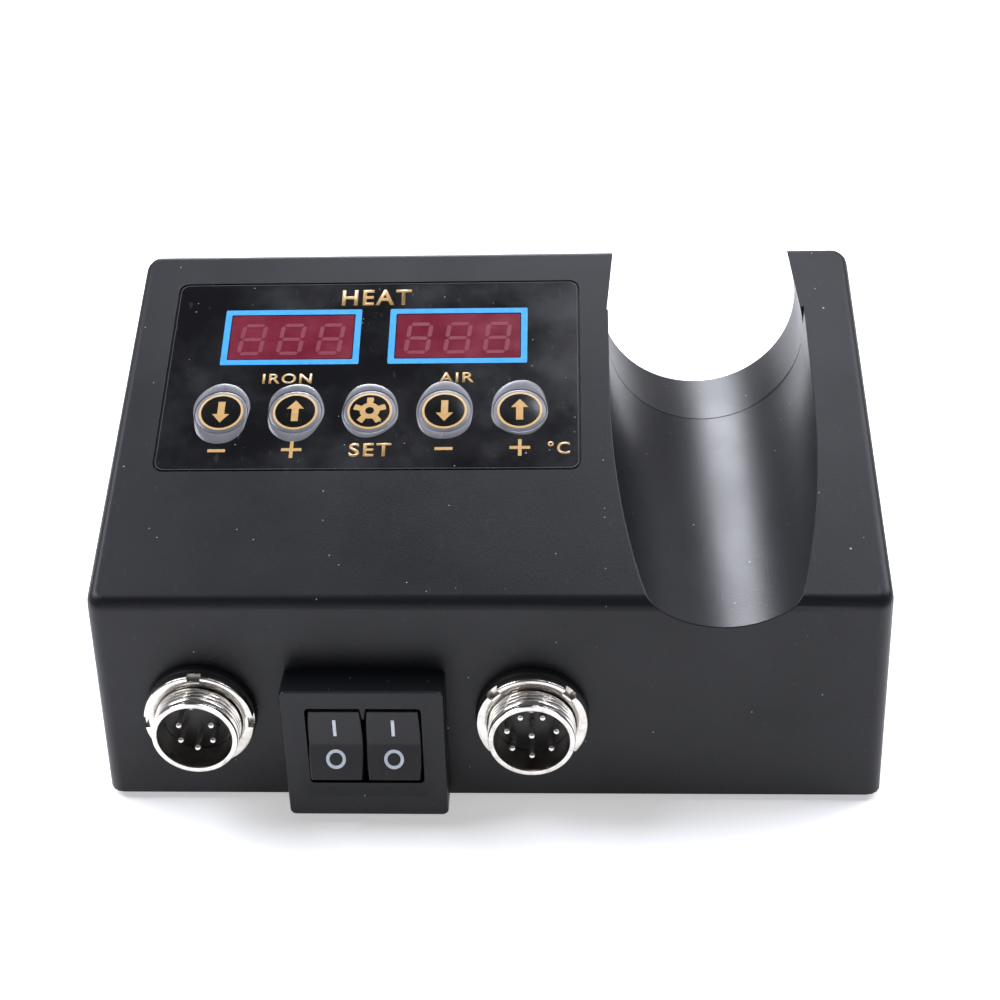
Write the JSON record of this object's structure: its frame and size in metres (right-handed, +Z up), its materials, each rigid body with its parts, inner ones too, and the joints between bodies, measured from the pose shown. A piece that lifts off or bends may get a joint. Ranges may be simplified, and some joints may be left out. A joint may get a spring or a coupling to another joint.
{
  "type": "soldering and hot-air station",
  "caption": "Wedge-shaped bench station with a sloping key and display panel, a half-round cradle for a hot-air handle, round multi-pin sockets and a double rocker switch on the front.",
  "frame": {"origin": "bottom centre of the bounding box, on the plane that the feet stand on", "axes": "+X across to the right as the user faces it, +Y to the back, +Z up"},
  "size_m": [0.147, 0.0934, 0.0764],
  "materials": {
    "case_black": "fine satin mould texture, black",
    "base_black": "matt black moulding",
    "rubber": "matt black rubber",
    "screw_steel": "zinc-plated steel",
    "film_black": "glossy printed polyester film",
    "red_filter": "dark red filter film",
    "key_film": "glossy domed film",
    "board_green": "green solder mask on glass-fibre board",
    "display_grey": "grey display block",
    "tact_black": "matt black moulding",
    "nickel": "nickel-plated zinc, lightly worn",
    "insert_black": "black moulded insulator",
    "pin_metal": "silver-plated contact",
    "collar_black": "black moulded spacer",
    "switch_black": "satin black moulding",
    "rocker_black": "satin black moulding",
    "board_amber": "plain amber phenolic board",
    "winding": "yellow tape over the winding and core",
    "sleeve": "dark shrink sleeve",
    "gland_black": "black moulded nylon"
  },
  "bodies": {
    "station": {"shell": "case_black", "base_plate": "base_black", "foot_1": "rubber", "foot_2": "rubber", "foot_3": "rubber", "foot_4": "rubber", "base_screw_1": "screw_steel", "base_screw_2": "screw_steel", "base_screw_3": "screw_steel", "base_screw_4": "screw_steel", "board_screw_1": "screw_steel", "board_screw_2": "screw_steel", "panel_film": "film_black", "window_iron": "red_filter", "window_air": "red_filter", "control_board": "board_green", "display_iron": "display_grey", "display_air": "display_grey", "tact_switch_1": "tact_black", "tact_switch_2": "tact_black", "tact_switch_3": "tact_black", "tact_switch_4": "tact_black", "tact_switch_5": "tact_black", "socket_shell_iron": "nickel", "socket_shell_air": "nickel", "ring_nut_iron": "nickel", "ring_nut_air": "nickel", "socket_insert_iron": "insert_black", "socket_insert_air": "insert_black", "pin_iron_1": "pin_metal", "pin_iron_2": "pin_metal", "pin_iron_3": "pin_metal", "pin_iron_4": "pin_metal", "pin_iron_5": "pin_metal", "pin_air_1": "pin_metal", "pin_air_2": "pin_metal", "pin_air_3": "pin_metal", "pin_air_4": "pin_metal", "pin_air_5": "pin_metal", "pin_air_6": "pin_metal", "pin_air_7": "pin_metal", "pin_air_8": "pin_metal", "socket_collar_iron": "collar_black", "socket_collar_air": "collar_black", "switch_housing": "switch_black", "power_board": "board_amber", "transformer": "winding", "capacitor": "sleeve", "gland_bush": "gland_black", "gland_nut": "gland_black"},
    "key_1": {"key_1": "key_film"},
    "key_2": {"key_2": "key_film"},
    "key_3": {"key_3": "key_film"},
    "key_4": {"key_4": "key_film"},
    "key_5": {"key_5": "key_film"},
    "rocker_iron": {"rocker_iron": "rocker_black"},
    "rocker_air": {"rocker_air": "rocker_black"}
  },
  "joints": [
    {"name": "press_iron_down", "type": "slide", "parent": "station", "child": "key_1", "axis": [0, 0.3709, -0.9287], "range_m": [0, 0.0004], "stiffness_N_per_m": 600},
    {"name": "press_iron_up", "type": "slide", "parent": "station", "child": "key_2", "axis": [0, 0.3709, -0.9287], "range_m": [0, 0.0004], "stiffness_N_per_m": 600},
    {"name": "press_set", "type": "slide", "parent": "station", "child": "key_3", "axis": [0, 0.3709, -0.9287], "range_m": [0, 0.0004], "stiffness_N_per_m": 600},
    {"name": "press_air_down", "type": "slide", "parent": "station", "child": "key_4", "axis": [0, 0.3709, -0.9287], "range_m": [0, 0.0004], "stiffness_N_per_m": 600},
    {"name": "press_air_up", "type": "slide", "parent": "station", "child": "key_5", "axis": [0, 0.3709, -0.9287], "range_m": [0, 0.0004], "stiffness_N_per_m": 600},
    {"name": "rock_iron", "type": "hinge", "parent": "station", "child": "rocker_iron", "pos_m": [-0.02795, -0.04054, 0.01786], "axis": [1, 0, 0], "range_deg": [0, 22]},
    {"name": "rock_air", "type": "hinge", "parent": "station", "child": "rocker_air", "pos_m": [-0.01725, -0.04054, 0.01786], "axis": [1, 0, 0], "range_deg": [0, 22]}
  ]
}
